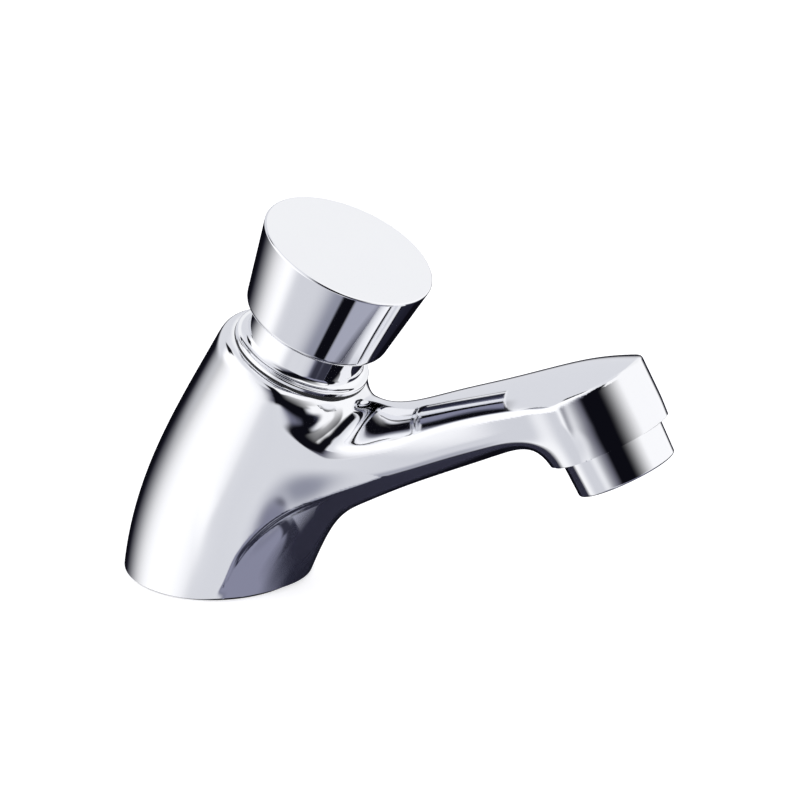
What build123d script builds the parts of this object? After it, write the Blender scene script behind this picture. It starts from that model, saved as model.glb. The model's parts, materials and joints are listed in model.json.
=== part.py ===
from build123d import *
import math
import os

# Self-closing push-button basin tap, in millimetres.
# Origin: centre of the base on the basin deck. +Z is up, +X points along the spout,
# and the tap is symmetric about the XZ plane.

os.makedirs("parts", exist_ok=True)

# Body: base on the deck and leaning neck
base_radius = 25.0
neck_radius = 21.3
neck_round = 2.4
lean_deg = 25.0            # button axis, leaning towards the spout
axis_foot_z = 7.5          # height at which the button axis crosses the inlet axis
rim_s = 62.7               # distance along the button axis from that crossing to the rim
crossing_reach = 10.0      # how far cutters run past a face that they open

# Spout: straight, rising at this angle, with a round head whose outlet points down and forward
spout_rise_deg = 25.0
outlet_tilt_deg = 29.1
head_radius = 15.9
junction_round = 3.0       # where the spout leaves the barrel
head_x = 112.7             # centre of the head's lower face
head_z = 55.6
head_height = 34.0         # cylinder that the crown trims
arm_half_width = 12.0      # at the spout's narrowest place
arm_top = 25.7             # the ridge there, measured across the spout from the line through the origin
channel_radius = 4.2
channel_q = 17.0           # height of the water channel across the spout
channel_inset = 2.0        # its start, inside the cartridge bore
channel_short = 4.0        # its end, short of the outlet's axis
side_bulge = 0.4           # of the spout's nearly flat sides

# Button cap and collar
button_top_radius = 22.9
button_foot_radius = 19.1
button_height = 23.5
travel = 6.0               # stroke of the button
pressed_gap = 3.8          # bare collar between the rim and the button when it is pressed
button_wall = 2.8
button_roof = 2.6
button_foot_round = 2.6
button_edge_round = 0.35
boss_depth = 9.0           # blind hole for the spindle in the button's boss
lock_nut_length = 3.0
lock_nut_flats = 8.0
spindle_room = 0.5         # above the spindle in the boss
spindle_chamfer = 0.4
spindle_end = 1.0          # below the valve nut
collar_radius = 15.7
collar_wall = 1.5
collar_foot_radius = 18.3
collar_cover = 2.4         # length of collar hidden inside the button at rest
collar_spigot = 2.5
collar_edge = 0.7          # round edge of the collar's foot

# Valve cartridge, all distances along the button axis
seat_s = 26.0
bore_radius = 14.0
foot_radius = 10.5
foot_length = 6.0
foot_drop = 2.0            # foot of the cartridge below its seat
well_radius = 8.5
well_room = 2.0            # below the open valve
inlet_passage_radius = 5.5
sleeve_radius = 12.2
seat_hole_radius = 4.5
seat_thickness = 3.0
flow_radius = 8.0
flow_length = 6.0
dash_radius = 9.5
flange_length = 16.0
port_radius = 2.2
port_count = 4
port_rise = 3.4            # ports above the flow chamber's floor
foot_ring_rise = 1.6
head_ring_rise = 4.0
housing_room = 0.2         # between the housing and the collar's spigot
gland_length = 6.0
gland_head = 4.0
gland_flats = 19.0
gland_seal_drop = 2.0
seal_room = 0.02
gland_seal_outer = 4.4
gland_ring_wire = 1.9
spindle_radius = 2.5
running_clearance = 0.06
piston_length = 6.0
piston_clearance = 0.35
piston_room = 1.0          # below the pressed piston
lip_seal_length = 2.6
lip_depth = 2.4
lip_bevel = 0.3
lip_wall = 0.6
lip_heel = 0.8
washer_radius = 6.4
washer_thickness = 2.0
disc_thickness = 2.0
valve_nut_flats = 8.0
valve_nut_length = 3.0
static_gap = 0.05          # between pieces that are screwed or pressed into each other

# Return spring
spring_radius = 7.5
spring_wire = 1.4
spring_turns = 6
boss_radius = 5.5
boss_drop = 8.0
spring_seat_radius = 9.5
spring_seat_drop = 5.5
spring_rest = 0.05         # so that the coil lies just clear of its seats

# Rings of round section
ring_wire = 2.0
ring_room = 0.05
shank_ring_radius = 9.0

# Threaded tail (G1/2, 20.955 mm over the thread) and its fixing
thread_radius = 10.48
tail_length = 55.0
tail_socket = 9.0
tail_float = 1.6           # room for the O-ring above the tail
tail_bore = 7.5
deck_thickness = 20.0
rubber_thickness = 3.0
steel_thickness = 1.5
washer_outer = 22.0
backnut_length = 8.0
backnut_flats = 27.0
backnut_flange = 16.5
backnut_flange_height = 2.0
relief_rise = 1.0
relief_depth = 0.8
relief_length = 1.2
tail_clearance = 0.3
base_wall = 4.5            # rim of the base round the gasket's pocket
pocket_inner = 13.5
pocket_depth = 9.0
gasket_thickness = 3.0
strainer_length = 8.0
strainer_wall = 0.8
strainer_hole = 0.8
strainer_pitch = 2.2
strainer_rim = 1.2

# Aerator (M24 x 1 in the head)
aerator_thread = 12.0
aerator_radius = 13.3
aerator_foot_radius = 13.0
aerator_height = 9.2
aerator_seam = 0.25
aerator_edge_round = 0.6
aerator_socket = 7.0
aerator_wall = 1.4
aerator_lip = 1.2
aerator_lip_height = 1.4
insert_length = 9.0
insert_hole = 0.9
insert_pitch = 2.6
insert_field = 9.2         # radius inside which the channels lie
screen_thickness = 0.5
screen_hole = 0.7
screen_pitch = 2.0
gasket_wall = 3.0
outlet_gasket = 1.6
head_cavity_radius = 8.0
head_cavity_depth = 16.5

lean = math.radians(lean_deg)
rise = math.radians(spout_rise_deg)
tilt = math.radians(outlet_tilt_deg)
button_foot_s = rim_s + pressed_gap + travel
button_top_s = button_foot_s + button_height
roof_s = button_top_s - button_roof
housing_top_s = rim_s - collar_spigot - housing_room
spring_foot_s = housing_top_s + gland_head
spring_top_s = roof_s - spring_seat_drop
boss_s = spring_top_s - boss_drop
foot_s = seat_s - foot_drop
bore_foot_s = foot_s + foot_length
flow_s = seat_s + seat_thickness
dash_s = flow_s + flow_length
piston_s = dash_s + travel + piston_room
washer_s = seat_s - washer_thickness
disc_s = washer_s - disc_thickness
valve_end_s = disc_s - valve_nut_length - spindle_end
well_s = valve_end_s - travel - well_room
gland_seal_s = housing_top_s - gland_seal_drop
pocket_outer = base_radius - base_wall
head_t = head_x * math.cos(rise) + head_z * math.sin(rise)


def on_axis(s):
    """Plane across the button axis, s along it, with its x towards the spout."""
    origin = Vector(s * math.sin(lean), 0, axis_foot_z + s * math.cos(lean))
    along = (math.sin(lean), 0, math.cos(lean))
    return Plane(origin, x_dir=(math.cos(lean), 0, -math.sin(lean)), z_dir=along)


def on_spout(t):
    """Plane across the spout, t along it: its x is the row's Y and its y points up across the spout."""
    origin = Vector(t * math.cos(rise), 0, t * math.sin(rise))
    return Plane(origin, x_dir=(0, 1, 0), z_dir=(math.cos(rise), 0, math.sin(rise)))


def on_head(h):
    """Plane across the outlet's axis, h above the head's lower face."""
    up = Vector(-math.sin(tilt), 0, math.cos(tilt))
    return Plane(Vector(head_x, 0, head_z) + up * h, x_dir=(math.cos(tilt), 0, math.sin(tilt)), z_dir=up)


def rod(plane_at, start, end, radius):
    """Cylinder from one station of an axis to another."""
    return plane_at(start) * Cylinder(radius, end - start, align=(Align.CENTER, Align.CENTER, Align.MIN))


def tube(plane_at, start, end, outer, inner):
    """Ring from one station of an axis to another."""
    return rod(plane_at, start, end, outer) - rod(plane_at, start - 1, end + 1, inner)


def upright(z):
    """Plane across the inlet axis."""
    return Plane((0, 0, z))


def turned(plane, points):
    """Solid turned about a plane's z axis from an outline of (radius, height) points."""
    outline = make_face(Polyline(*[(r, 0, z) for r, z in points], close=True))
    return plane * revolve(outline, Axis.Z)


def ring(plane, radius, wire):
    """Round-section ring about a plane's z axis."""
    return plane * Torus(radius, wire / 2)


def hexagon(plane_at, start, end, flats):
    """Hexagonal prism from one station of an axis to another, by its width across flats."""
    outline = plane_at(start) * RegularPolygon(flats / 2, 6, major_radius=False)
    return extrude(outline, amount=end - start, dir=plane_at(start).z_dir)


def hole_grid(plane_at, start, end, radius, pitch, limit):
    """Holes on a triangular grid, as far as a limiting radius."""
    row = pitch * math.sqrt(3) / 2
    steps = int(limit / pitch) + 2
    spots = []
    for j in range(-steps, steps + 1):
        for i in range(-steps, steps + 1):
            x = (i + 0.5 * (j % 2)) * pitch
            y = j * row
            if math.hypot(x, y) + radius <= limit:
                spots.append((x, y))
    holes = [Pos(x, y, 0) * Cylinder(radius, end - start) for x, y in spots]
    return plane_at((start + end) / 2) * Compound(children=holes)


def spout_section(t, low_width, high_width, keel, low, high, top):
    """Outline across the spout: one smooth closed line through a keel, two flanks and a ridge.
    The widths are shares of the way from the arm's half width to the base's, the heights shares of the
    ridge's height."""
    low_width = arm_half_width + low_width * (base_radius - arm_half_width)
    high_width = arm_half_width + high_width * (base_radius - arm_half_width)
    keel, low, high, top = keel * arm_top, low * arm_top, high * arm_top, top * arm_top
    side = max(low_width, high_width) + side_bulge
    flank = [(low_width, low), (side, (low + high) / 2), (high_width, high)]
    other = [(-width, height) for width, height in reversed(flank)]
    outline = Spline((0, keel), *flank, (0, top), *other, periodic=True)
    return on_spout(t) * make_face(outline)


def barrel():
    """Leaning body from the round base to the neck. Each section has shares of the rim's place and lean,
    and how much longer and wider it is than a straight taper."""
    rim = on_axis(rim_s).origin
    sections = []
    for x, z, angle, along, across in (
        (0.0, 0.0, 0.0, 1.0, 1.0),
        (0.181, 0.2425, 0.4, 1.058, 0.996),
        (0.498, 0.575, 0.72, 1.041, 0.988),
        (1.0, 1.0, 1.0, 1.0, 1.0),
    ):
        radius = base_radius + (neck_radius - base_radius) * z
        place = Pos(x * rim.X, 0, z * rim.Z) * Rot(0, angle * lean_deg, 0)
        sections.append(place * Ellipse(along * radius, across * radius))
    shape = loft(sections)
    mouth = shape.faces().sort_by(Axis((0, 0, 0), on_axis(0).z_dir))[-1]
    return fillet(mouth.edges(), neck_round)


def spout():
    """Spout from inside the barrel to the head, at shares of the way to the outlet's axis. Its underside
    comes down to the head in a round heel."""
    stations = (
        (0.12, 0.54, 0.5, -0.156, 0.117, 0.66, 0.895),
        (0.207, 0.446, 0.462, -0.039, 0.233, 0.778, 1.02),
        (0.318, 0.2, 0.346, 0.078, 0.409, 1.0, 1.22),
        (0.446, 0.092, 0.26, 0.195, 0.447, 0.92, 1.19),
        (0.517, 0.046, 0.16, 0.226, 0.459, 0.83, 1.11),
        (0.605, 0.015, 0.077, 0.249, 0.463, 0.786, 1.035),
        (0.716, 0.0, 0.031, 0.265, 0.467, 0.763, 1.0),
        (0.81, 0.02, 0.05, 0.25, 0.45, 0.747, 0.97),
        (0.86, 0.05, 0.08, 0.185, 0.41, 0.742, 0.96),
        (0.895, 0.07, 0.09, 0.125, 0.37, 0.74, 0.95),
        (0.931, 0.09, 0.1, 0.12, 0.35, 0.739, 0.942),
    )
    return loft([spout_section(share * head_t, *sizes) for share, *sizes in stations])


def head():
    """Round head of the spout: a cylinder about the outlet's axis, under a crowned top that droops."""
    width = head_radius + crossing_reach / 4
    low = -arm_top / 2
    crown = []
    for share, high, top in (
        (0.764, 0.716, 0.984),
        (0.891, 0.716, 0.957),
        (1.003, 0.685, 0.907),
        (1.13, 0.521, 0.747),
    ):
        high, top = high * arm_top, top * arm_top
        roof = ThreePointArc((-width, high), (0, top), (width, high))
        walls = Polyline((width, high), (width, low), (-width, low), (-width, high))
        crown.append(on_spout(share * head_t) * make_face(Curve() + [roof, walls]))
    return rod(on_head, 0, head_height, head_radius) & loft(crown)


def body_passages():
    """Bores of the body: cartridge bore, valve well, inlet, spout channel, outlet socket and tail socket."""
    cuts = rod(on_axis, bore_foot_s, rim_s + crossing_reach, bore_radius)
    cuts += rod(on_axis, foot_s, bore_foot_s + 1, foot_radius)
    cuts += rod(on_axis, well_s, foot_s + 1, well_radius)
    cuts += rod(on_axis, 0, well_s + 1, inlet_passage_radius)
    cuts += rod(upright, -crossing_reach, tail_socket, thread_radius)
    cuts += tube(upright, -crossing_reach, pocket_depth, pocket_outer, pocket_inner)
    cuts += rod(on_head, -crossing_reach, aerator_socket + outlet_gasket, aerator_thread + static_gap)
    cuts += rod(on_head, 0, head_cavity_depth, head_cavity_radius)
    bore_wall = on_axis(seat_s + flow_length).origin + on_axis(0).x_dir * (bore_radius - channel_inset)
    start = bore_wall.X * math.cos(rise) + bore_wall.Z * math.sin(rise)
    length = head_t - channel_short - start
    channel = Cylinder(channel_radius, length, align=(Align.CENTER, Align.CENTER, Align.MIN))
    cuts += on_spout(start) * (Pos(0, channel_q, 0) * channel)
    return cuts


def casting():
    """Outside of the body: barrel, spout with a rounded junction, and head."""
    leaning, arm = barrel(), spout()
    joined = leaning + arm
    joined = fillet(new_edges(leaning, arm, combined=joined), junction_round)
    return joined + head()


def body():
    """The casting, with its passages."""
    return casting() - body_passages()


def collar():
    """Sleeve under the button, with a flared foot on the body's rim and a spigot in the bore."""
    top = button_foot_s - rim_s + collar_cover
    inner = collar_radius - collar_wall
    spigot = bore_radius - static_gap
    shoulder = collar_foot_radius - collar_edge
    flare = shoulder - collar_radius
    outline = Polyline(
        (inner - collar_wall, -collar_spigot),
        (spigot, -collar_spigot),
        (spigot, 0),
        (collar_foot_radius, 0),
        (collar_foot_radius, collar_edge),
    )
    rounded = RadiusArc((collar_foot_radius, collar_edge), (shoulder, 2 * collar_edge), -collar_edge)
    hollow = RadiusArc((shoulder, 2 * collar_edge), (collar_radius, 2 * collar_edge + flare), flare)
    rest = Polyline(
        (collar_radius, 2 * collar_edge + flare),
        (collar_radius, top),
        (inner, top),
        (inner, 0),
        (inner - collar_wall, -collar_spigot),
    )
    face = make_face(Plane.XZ * (Curve() + [outline, rounded, hollow, rest]))
    return on_axis(rim_s) * revolve(face, Axis.Z)


def push_button():
    """Tapered cap with a flat top, a hollow skirt round the collar and a boss for the spindle."""
    taper = (button_top_radius - button_foot_radius) / button_height
    outside = [(0, button_height), (button_top_radius, button_height), (button_foot_radius, 0)]
    inner_foot = button_foot_radius - button_wall
    roof = button_height - button_roof
    inside = [(inner_foot, 0), (inner_foot + taper * roof, roof), (0, roof)]
    cap = turned(on_axis(button_foot_s), outside + inside)
    lower = cap.edges().filter_by(GeomType.CIRCLE).sort_by(lambda e: abs(e.radius - button_foot_radius))[0]
    cap = fillet(lower, button_foot_round)
    upper = cap.edges().filter_by(GeomType.CIRCLE).sort_by(lambda e: abs(e.radius - button_top_radius))[0]
    cap = fillet(upper, button_edge_round)
    cap += rod(on_axis, spring_top_s, roof_s + button_roof / 2, spring_seat_radius)
    cap += rod(on_axis, boss_s, spring_top_s + 1, boss_radius)
    return cap - rod(on_axis, boss_s - 1, boss_s + boss_depth, spindle_radius + static_gap)


def lock_nut():
    """Nut that locks the spindle in the button's boss."""
    nut = hexagon(on_axis, boss_s - lock_nut_length, boss_s, lock_nut_flats)
    return nut - rod(on_axis, boss_s - lock_nut_length - 1, boss_s + 1, spindle_radius + static_gap)


def spindle():
    """Rod from the button's boss down to the valve nut."""
    whole = rod(on_axis, valve_end_s, boss_s + boss_depth - spindle_room, spindle_radius)
    return chamfer(whole.edges(), spindle_chamfer)


def cartridge_housing():
    """Brass sleeve: foot in the body, seat, flow chamber with ports, dash chamber and threaded flange."""
    flange_s = housing_top_s - flange_length
    shell = rod(on_axis, foot_s, bore_foot_s, foot_radius - static_gap)
    shell += rod(on_axis, bore_foot_s, flange_s, sleeve_radius)
    shell += rod(on_axis, flange_s, housing_top_s, bore_radius - static_gap)
    shell -= rod(on_axis, foot_s - 1, seat_s, well_radius)
    shell -= rod(on_axis, seat_s - 1, flow_s + 1, seat_hole_radius)
    shell -= rod(on_axis, flow_s, dash_s + 1, flow_radius)
    shell -= rod(on_axis, dash_s, housing_top_s + 1, dash_radius)
    port = Cylinder(port_radius, 2 * sleeve_radius + 2)
    for i in range(port_count // 2):
        turn = 360 / port_count * (i + 0.5)
        shell -= on_axis(flow_s + port_rise) * (Rot(0, 0, turn) * Rot(90, 0, 0) * port)
    shell -= ring_groove(on_axis(seat_s + foot_ring_rise), foot_radius)
    shell -= ring_groove(on_axis(flange_s + head_ring_rise), bore_radius)
    return shell


def ring_groove(plane, radius):
    """Groove round a plug for an O-ring that seals against a bore of this radius."""
    width = ring_wire + 2 * ring_room
    depth = ring_wire + static_gap
    return plane * (Cylinder(radius + 1, width) - Cylinder(radius - depth, width + 1))


def bore_ring(plane, radius):
    """O-ring that fills such a groove."""
    return ring(plane, radius - ring_wire / 2 - ring_room, ring_wire)


def gland():
    """Guide bush of the spindle, screwed into the housing, with a hexagon head."""
    bush = rod(on_axis, housing_top_s - gland_length, housing_top_s, dash_radius - static_gap)
    bush += hexagon(on_axis, housing_top_s, spring_foot_s, gland_flats)
    bore = spindle_radius + running_clearance
    bush -= rod(on_axis, housing_top_s - gland_length - 1, spring_foot_s + 1, bore)
    half = gland_ring_wire / 2
    return bush - rod(on_axis, gland_seal_s - half, gland_seal_s + half, gland_seal_outer)


def gland_seal():
    """Rubber ring round the spindle, in the gland's groove."""
    wire = gland_seal_outer - spindle_radius - running_clearance
    return ring(on_axis(gland_seal_s), spindle_radius + running_clearance + wire / 2, wire - seal_room)


def dash_piston():
    """Plastic piston that slows the return, with a groove for its lip seal."""
    outer = dash_radius - piston_clearance
    piston = tube(on_axis, piston_s, piston_s + piston_length, outer, spindle_radius + static_gap)
    middle = piston_s + piston_length / 2
    half = lip_seal_length / 2
    groove = tube(on_axis, middle - half, middle + half, outer + 1, outer - lip_depth)
    return piston - groove


def piston_lip_seal():
    """Rubber cup ring of the piston: a short heel and a lip that reaches the dash chamber's wall."""
    inner = dash_radius - piston_clearance - lip_depth + static_gap
    outer = dash_radius - running_clearance
    half = lip_seal_length / 2 - static_gap
    outline = [
        (inner, -half),
        (outer - lip_bevel, -half),
        (outer, half),
        (outer - lip_wall, half),
        (inner + lip_heel, 0),
        (inner, 0),
    ]
    return turned(on_axis(piston_s + piston_length / 2), outline)


def valve_washer():
    """Rubber washer that closes on the seat."""
    return tube(on_axis, washer_s, seat_s, washer_radius, spindle_radius + static_gap)


def valve_disc():
    """Brass disc that carries the washer."""
    return tube(on_axis, disc_s, washer_s, washer_radius, spindle_radius + static_gap)


def valve_nut():
    """Nut that holds washer and disc on the spindle."""
    nut = hexagon(on_axis, disc_s - valve_nut_length, disc_s, valve_nut_flats)
    return nut - rod(on_axis, disc_s - valve_nut_length - 1, disc_s + 1, spindle_radius + static_gap)


def spring_path(radius, height, turns, steps=4):
    """Coil as pairs of tangent arcs, a quarter turn for each pair."""
    count = turns * steps
    rise_per_angle = height / (2 * math.pi * turns)

    def at(i):
        a = 2 * math.pi * i / steps
        point = Vector(radius * math.cos(a), radius * math.sin(a), rise_per_angle * a)
        return point, Vector(-radius * math.sin(a), radius * math.cos(a), rise_per_angle).normalized()

    edges = []
    for i in range(count):
        start, leave = at(i)
        end, arrive = at(i + 1)
        chord = end - start
        both = leave + arrive
        a = 2 * (leave.dot(arrive) - 1)
        b = -2 * chord.dot(both)
        c = chord.dot(chord)
        reach = (-b - math.sqrt(b * b - 4 * a * c)) / (2 * a)
        joint = (start + leave * reach + end - arrive * reach) * 0.5
        first = TangentArc(start, joint, tangent=leave)
        edges.append(first)
        edges.append(TangentArc(joint, end, tangent=first % 1))
    return Wire(edges)


def least_gap(path, turns, samples=24):
    """Least distance between the coil's centre line and itself, half a turn or more away, on points."""
    points = [path @ (i / (turns * samples)) for i in range(turns * samples + 1)]
    apart = samples // 2
    return min((a - b).length for i, a in enumerate(points) for b in points[i + apart:])


def return_spring():
    """Coil spring between the gland and the button, as one tube."""
    height = spring_top_s - spring_foot_s - spring_wire - 2 * spring_rest
    path = spring_path(spring_radius, height, spring_turns)
    print("spring: least gap to itself", round(least_gap(path, spring_turns) - spring_wire, 3), "mm")
    section = Plane(path @ 0, z_dir=path % 0) * Circle(spring_wire / 2)
    coil = sweep(section, path)
    return on_axis(spring_foot_s + spring_wire / 2 + spring_rest) * coil


def base_gasket():
    """Rubber ring in the base's pocket, against the deck."""
    return tube(upright, 0, gasket_thickness, pocket_outer - static_gap, pocket_inner + static_gap)


def inlet_shank():
    """Threaded tail with a through bore. A relief marks off the supply's end from the backnut's thread."""
    shank = tube(upright, -tail_length, tail_socket - tail_float, thread_radius, tail_bore)
    relief_top = -deck_thickness - rubber_thickness - steel_thickness - backnut_length - relief_rise
    relief_foot = relief_top - relief_length
    return shank - tube(upright, relief_foot, relief_top, thread_radius + 1, thread_radius - relief_depth)


def deck_washer():
    """Rubber washer under the basin deck."""
    top = -deck_thickness
    return tube(upright, top - rubber_thickness, top, washer_outer, thread_radius + tail_clearance)


def clamp_washer():
    """Steel washer between rubber washer and backnut."""
    top = -deck_thickness - rubber_thickness
    return tube(upright, top - steel_thickness, top, washer_outer, thread_radius + tail_clearance)


def backnut():
    """Flanged hexagon nut on the tail."""
    top = -deck_thickness - rubber_thickness - steel_thickness
    nut = hexagon(upright, top - backnut_length, top, backnut_flats)
    nut += rod(upright, top - backnut_flange_height, top, backnut_flange)
    return nut - rod(upright, top - backnut_length - 1, top + 1, thread_radius)


def inlet_strainer():
    """Perforated cup in the tail's mouth."""
    outer = tail_bore - static_gap
    top = strainer_length - tail_length
    floor = top - strainer_wall
    cup = rod(upright, -tail_length, top, outer)
    cup -= rod(upright, -tail_length - 1, floor, outer - strainer_wall)
    return cup - hole_grid(upright, floor - 1, top + 1, strainer_hole, strainer_pitch, outer - strainer_rim)


def aerator_housing():
    """Outlet ring: threaded sleeve in the head, shoulder, and a lip at the mouth."""
    inner = aerator_thread - aerator_wall
    foot = -aerator_seam - aerator_height
    outline = [
        (inner, aerator_socket),
        (aerator_thread, aerator_socket),
        (aerator_thread, -aerator_seam),
        (aerator_radius, -aerator_seam),
        (aerator_foot_radius, foot),
        (inner - aerator_lip, foot),
        (inner - aerator_lip, foot + aerator_lip_height),
        (inner, foot + aerator_lip_height),
    ]
    shell = turned(on_head(0), outline)
    rim = shell.edges().filter_by(GeomType.CIRCLE).sort_by(lambda e: abs(e.radius - aerator_foot_radius))[0]
    return fillet(rim, aerator_edge_round)


def aerator_insert():
    """Plastic flow straightener: a plug with a grid of channels."""
    foot = -aerator_seam - aerator_height + aerator_lip_height
    top = foot + insert_length
    plug = rod(on_head, foot, top, aerator_thread - aerator_wall - static_gap)
    return plug - hole_grid(on_head, foot - 1, top + 1, insert_hole, insert_pitch, insert_field)


def aerator_screen():
    """Steel mesh disc on top of the insert."""
    foot = -aerator_seam - aerator_height + aerator_lip_height + insert_length
    top = foot + screen_thickness
    disc = rod(on_head, foot, top, aerator_thread - aerator_wall - static_gap)
    return disc - hole_grid(on_head, foot - 1, top + 1, screen_hole, screen_pitch, insert_field)


def aerator_gasket():
    """Rubber ring between the aerator housing and the socket's floor."""
    top = aerator_socket + outlet_gasket
    return tube(on_head, aerator_socket, top, aerator_thread, aerator_thread - gasket_wall)


def shank_o_ring():
    """O-ring between the tail's end and the body."""
    return ring(upright(tail_socket - tail_float / 2), shank_ring_radius, tail_float)


def housing_o_ring():
    """O-ring at the cartridge's foot."""
    return bore_ring(on_axis(seat_s + foot_ring_rise), foot_radius)


def head_o_ring():
    """O-ring at the cartridge's flange."""
    return bore_ring(on_axis(housing_top_s - flange_length + head_ring_rise), bore_radius)


nodes = (
    body,
    collar,
    push_button,
    lock_nut,
    spindle,
    cartridge_housing,
    housing_o_ring,
    head_o_ring,
    gland,
    gland_seal,
    dash_piston,
    piston_lip_seal,
    valve_washer,
    valve_disc,
    valve_nut,
    return_spring,
    base_gasket,
    inlet_shank,
    shank_o_ring,
    deck_washer,
    clamp_washer,
    backnut,
    inlet_strainer,
    aerator_housing,
    aerator_gasket,
    aerator_insert,
    aerator_screen,
)
for node in nodes:
    export_step(node(), f"parts/{node.__name__}.step")
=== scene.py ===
# %% [markdown]
# # A self-closing basin tap in chrome
#
# The tap has a leaning body with a rising spout, a slanted push button on a collar, and an outlet
# ring under the spout's head. A threaded tail with washers and a backnut goes down through the deck.
# Every solid of the CAD model is loaded first. Then each piece that shows is built again with a
# finer surface, because chrome shows every dent of a coarse mesh, and takes the solid's place.

# %% Load the frame
import json
import math

import bpy
import numpy as np
from mathutils import Matrix

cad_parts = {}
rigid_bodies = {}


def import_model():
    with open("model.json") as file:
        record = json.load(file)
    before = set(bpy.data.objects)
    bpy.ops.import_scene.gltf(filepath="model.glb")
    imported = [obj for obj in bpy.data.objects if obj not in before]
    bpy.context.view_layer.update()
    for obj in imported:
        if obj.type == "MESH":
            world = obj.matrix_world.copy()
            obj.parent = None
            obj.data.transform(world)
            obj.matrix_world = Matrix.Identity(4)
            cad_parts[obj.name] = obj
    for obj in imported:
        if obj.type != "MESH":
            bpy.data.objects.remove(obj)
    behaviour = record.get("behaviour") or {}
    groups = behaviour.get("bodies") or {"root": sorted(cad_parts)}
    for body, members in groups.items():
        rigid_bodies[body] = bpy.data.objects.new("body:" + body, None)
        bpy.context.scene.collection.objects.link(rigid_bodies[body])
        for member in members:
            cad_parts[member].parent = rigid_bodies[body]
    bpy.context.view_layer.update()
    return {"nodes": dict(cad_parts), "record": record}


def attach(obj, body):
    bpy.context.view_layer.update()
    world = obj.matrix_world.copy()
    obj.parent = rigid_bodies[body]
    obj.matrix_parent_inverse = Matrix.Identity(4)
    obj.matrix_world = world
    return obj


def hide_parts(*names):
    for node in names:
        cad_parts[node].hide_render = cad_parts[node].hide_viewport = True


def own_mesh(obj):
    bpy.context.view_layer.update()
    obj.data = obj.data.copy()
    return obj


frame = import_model()
nodes = frame["nodes"]

# %% [markdown]
# ## Three axes
#
# Sizes are in millimetres until a mesh is made. Nearly all of the tap is turned about one of three
# axes: the inlet (straight up), the button (leaning 25 degrees to the spout) and the outlet (tilted
# 29.1 degrees). Each axis is kept as an origin and three directions, so one lathe serves them all.

# %% Axes
MM = 0.001
LEAN = math.radians(25.0)
RISE = math.radians(25.0)
TILT = math.radians(29.1)
AXIS_FOOT = 7.5
RIM_S = 62.7
SEAM_X, SEAM_Z = 112.7, 55.6


def axis(origin, up, ahead):
    """Origin, the two directions across and the direction along."""
    up, ahead = np.array(up, float), np.array(ahead, float)
    return np.array(origin, float), ahead, np.cross(up, ahead), up


def button_axis(s):
    """The button's axis, from a place at distance s along it."""
    up = (math.sin(LEAN), 0, math.cos(LEAN))
    return axis((s * up[0], 0, AXIS_FOOT + s * up[2]), up, (math.cos(LEAN), 0, -math.sin(LEAN)))


inlet_axis = axis((0, 0, 0), (0, 0, 1), (1, 0, 0))
outlet_up = (-math.sin(TILT), 0, math.cos(TILT))
outlet_axis = axis((SEAM_X, 0, SEAM_Z), outlet_up, (math.cos(TILT), 0, math.sin(TILT)))
print("rim centre:", button_axis(RIM_S)[0].round(2))

# %% [markdown]
# ## Camera
#
# The photograph was taken from the front left, a little from above, with a long lens. These numbers
# come from fitting a camera to the circles of the tap: the base, the rim, the button's top and the
# outlet. The camera looks along minus `away`, and is moved sideways rather than turned.

# %% Camera
VIEW_ANGLE, VIEW_RISE, VIEW_DISTANCE = math.radians(63.9), math.radians(21.5), 807.8
SHIFT_RIGHT, SHIFT_UP = 49.14, 43.38
LENS, SENSOR = 135.0, 36.0
ground = math.cos(VIEW_RISE)
away = np.array([ground * math.cos(VIEW_ANGLE), -ground * math.sin(VIEW_ANGLE), math.sin(VIEW_RISE)])
right = np.array([math.sin(VIEW_ANGLE), math.cos(VIEW_ANGLE), 0.0])
upward = np.cross(away, right)
eye = VIEW_DISTANCE * away + SHIFT_RIGHT * right + SHIFT_UP * upward
camera = bpy.data.objects.new("camera", bpy.data.cameras.new("camera"))
bpy.context.collection.objects.link(camera)
camera.data.lens = LENS
camera.data.sensor_width = SENSOR
turn = Matrix([list(right), list(upward), list(away)]).transposed().to_4x4()
camera.matrix_world = Matrix.Translation([float(c) * MM for c in eye]) @ turn
bpy.context.scene.camera = camera
print("camera at", (eye * MM).round(3))

# %% [markdown]
# ## Studio
#
# Chrome has no colour of its own: it shows the room. So the room is drawn as a soft dome with white,
# grey and black cards, each a soft-edged patch at an azimuth and an elevation. The camera
# itself sees plain white. Cards could be planes that glow, but patches in the world are free of
# noise, and easy to move.
#
# Nodes are laid by three small helpers, for the world here and for every material below. They work
# on whatever node tree is in hand.

# %% Node helpers
scene = bpy.context.scene
scene.view_settings.view_transform = "Standard"
world = bpy.data.worlds.new("studio")
scene.world = world
world.use_nodes = True
tree = world.node_tree
tree.nodes.clear()


def node(kind, **settings):
    """A new node of the tree in hand, with its settings."""
    made = tree.nodes.new(kind)
    for key, value in settings.items():
        setattr(made, key, value)
    return made


def maths(operation, *inputs):
    """A Math node's result."""
    made = node("ShaderNodeMath", operation=operation)
    for i, value in enumerate(inputs):
        if isinstance(value, (int, float)):
            made.inputs[i].default_value = value
        else:
            tree.links.new(value, made.inputs[i])
    return made.outputs[0]


def fade(value, near, far):
    """1 below near, 0 beyond far, smooth between."""
    made = node("ShaderNodeMapRange", interpolation_type="SMOOTHSTEP")
    tree.links.new(value, made.inputs["Value"])
    made.inputs["From Min"].default_value = near
    made.inputs["From Max"].default_value = far
    made.inputs["To Min"].default_value = 1.0
    made.inputs["To Max"].default_value = 0.0
    return made.outputs["Result"]


print("world tree in hand:", world.name)

# %% [markdown]
# A card needs only the direction in which a reflection looks: its azimuth, which is 0 where the
# spout points, and its elevation, which is 0 at the horizon. Later cards lie over earlier ones.

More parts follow.
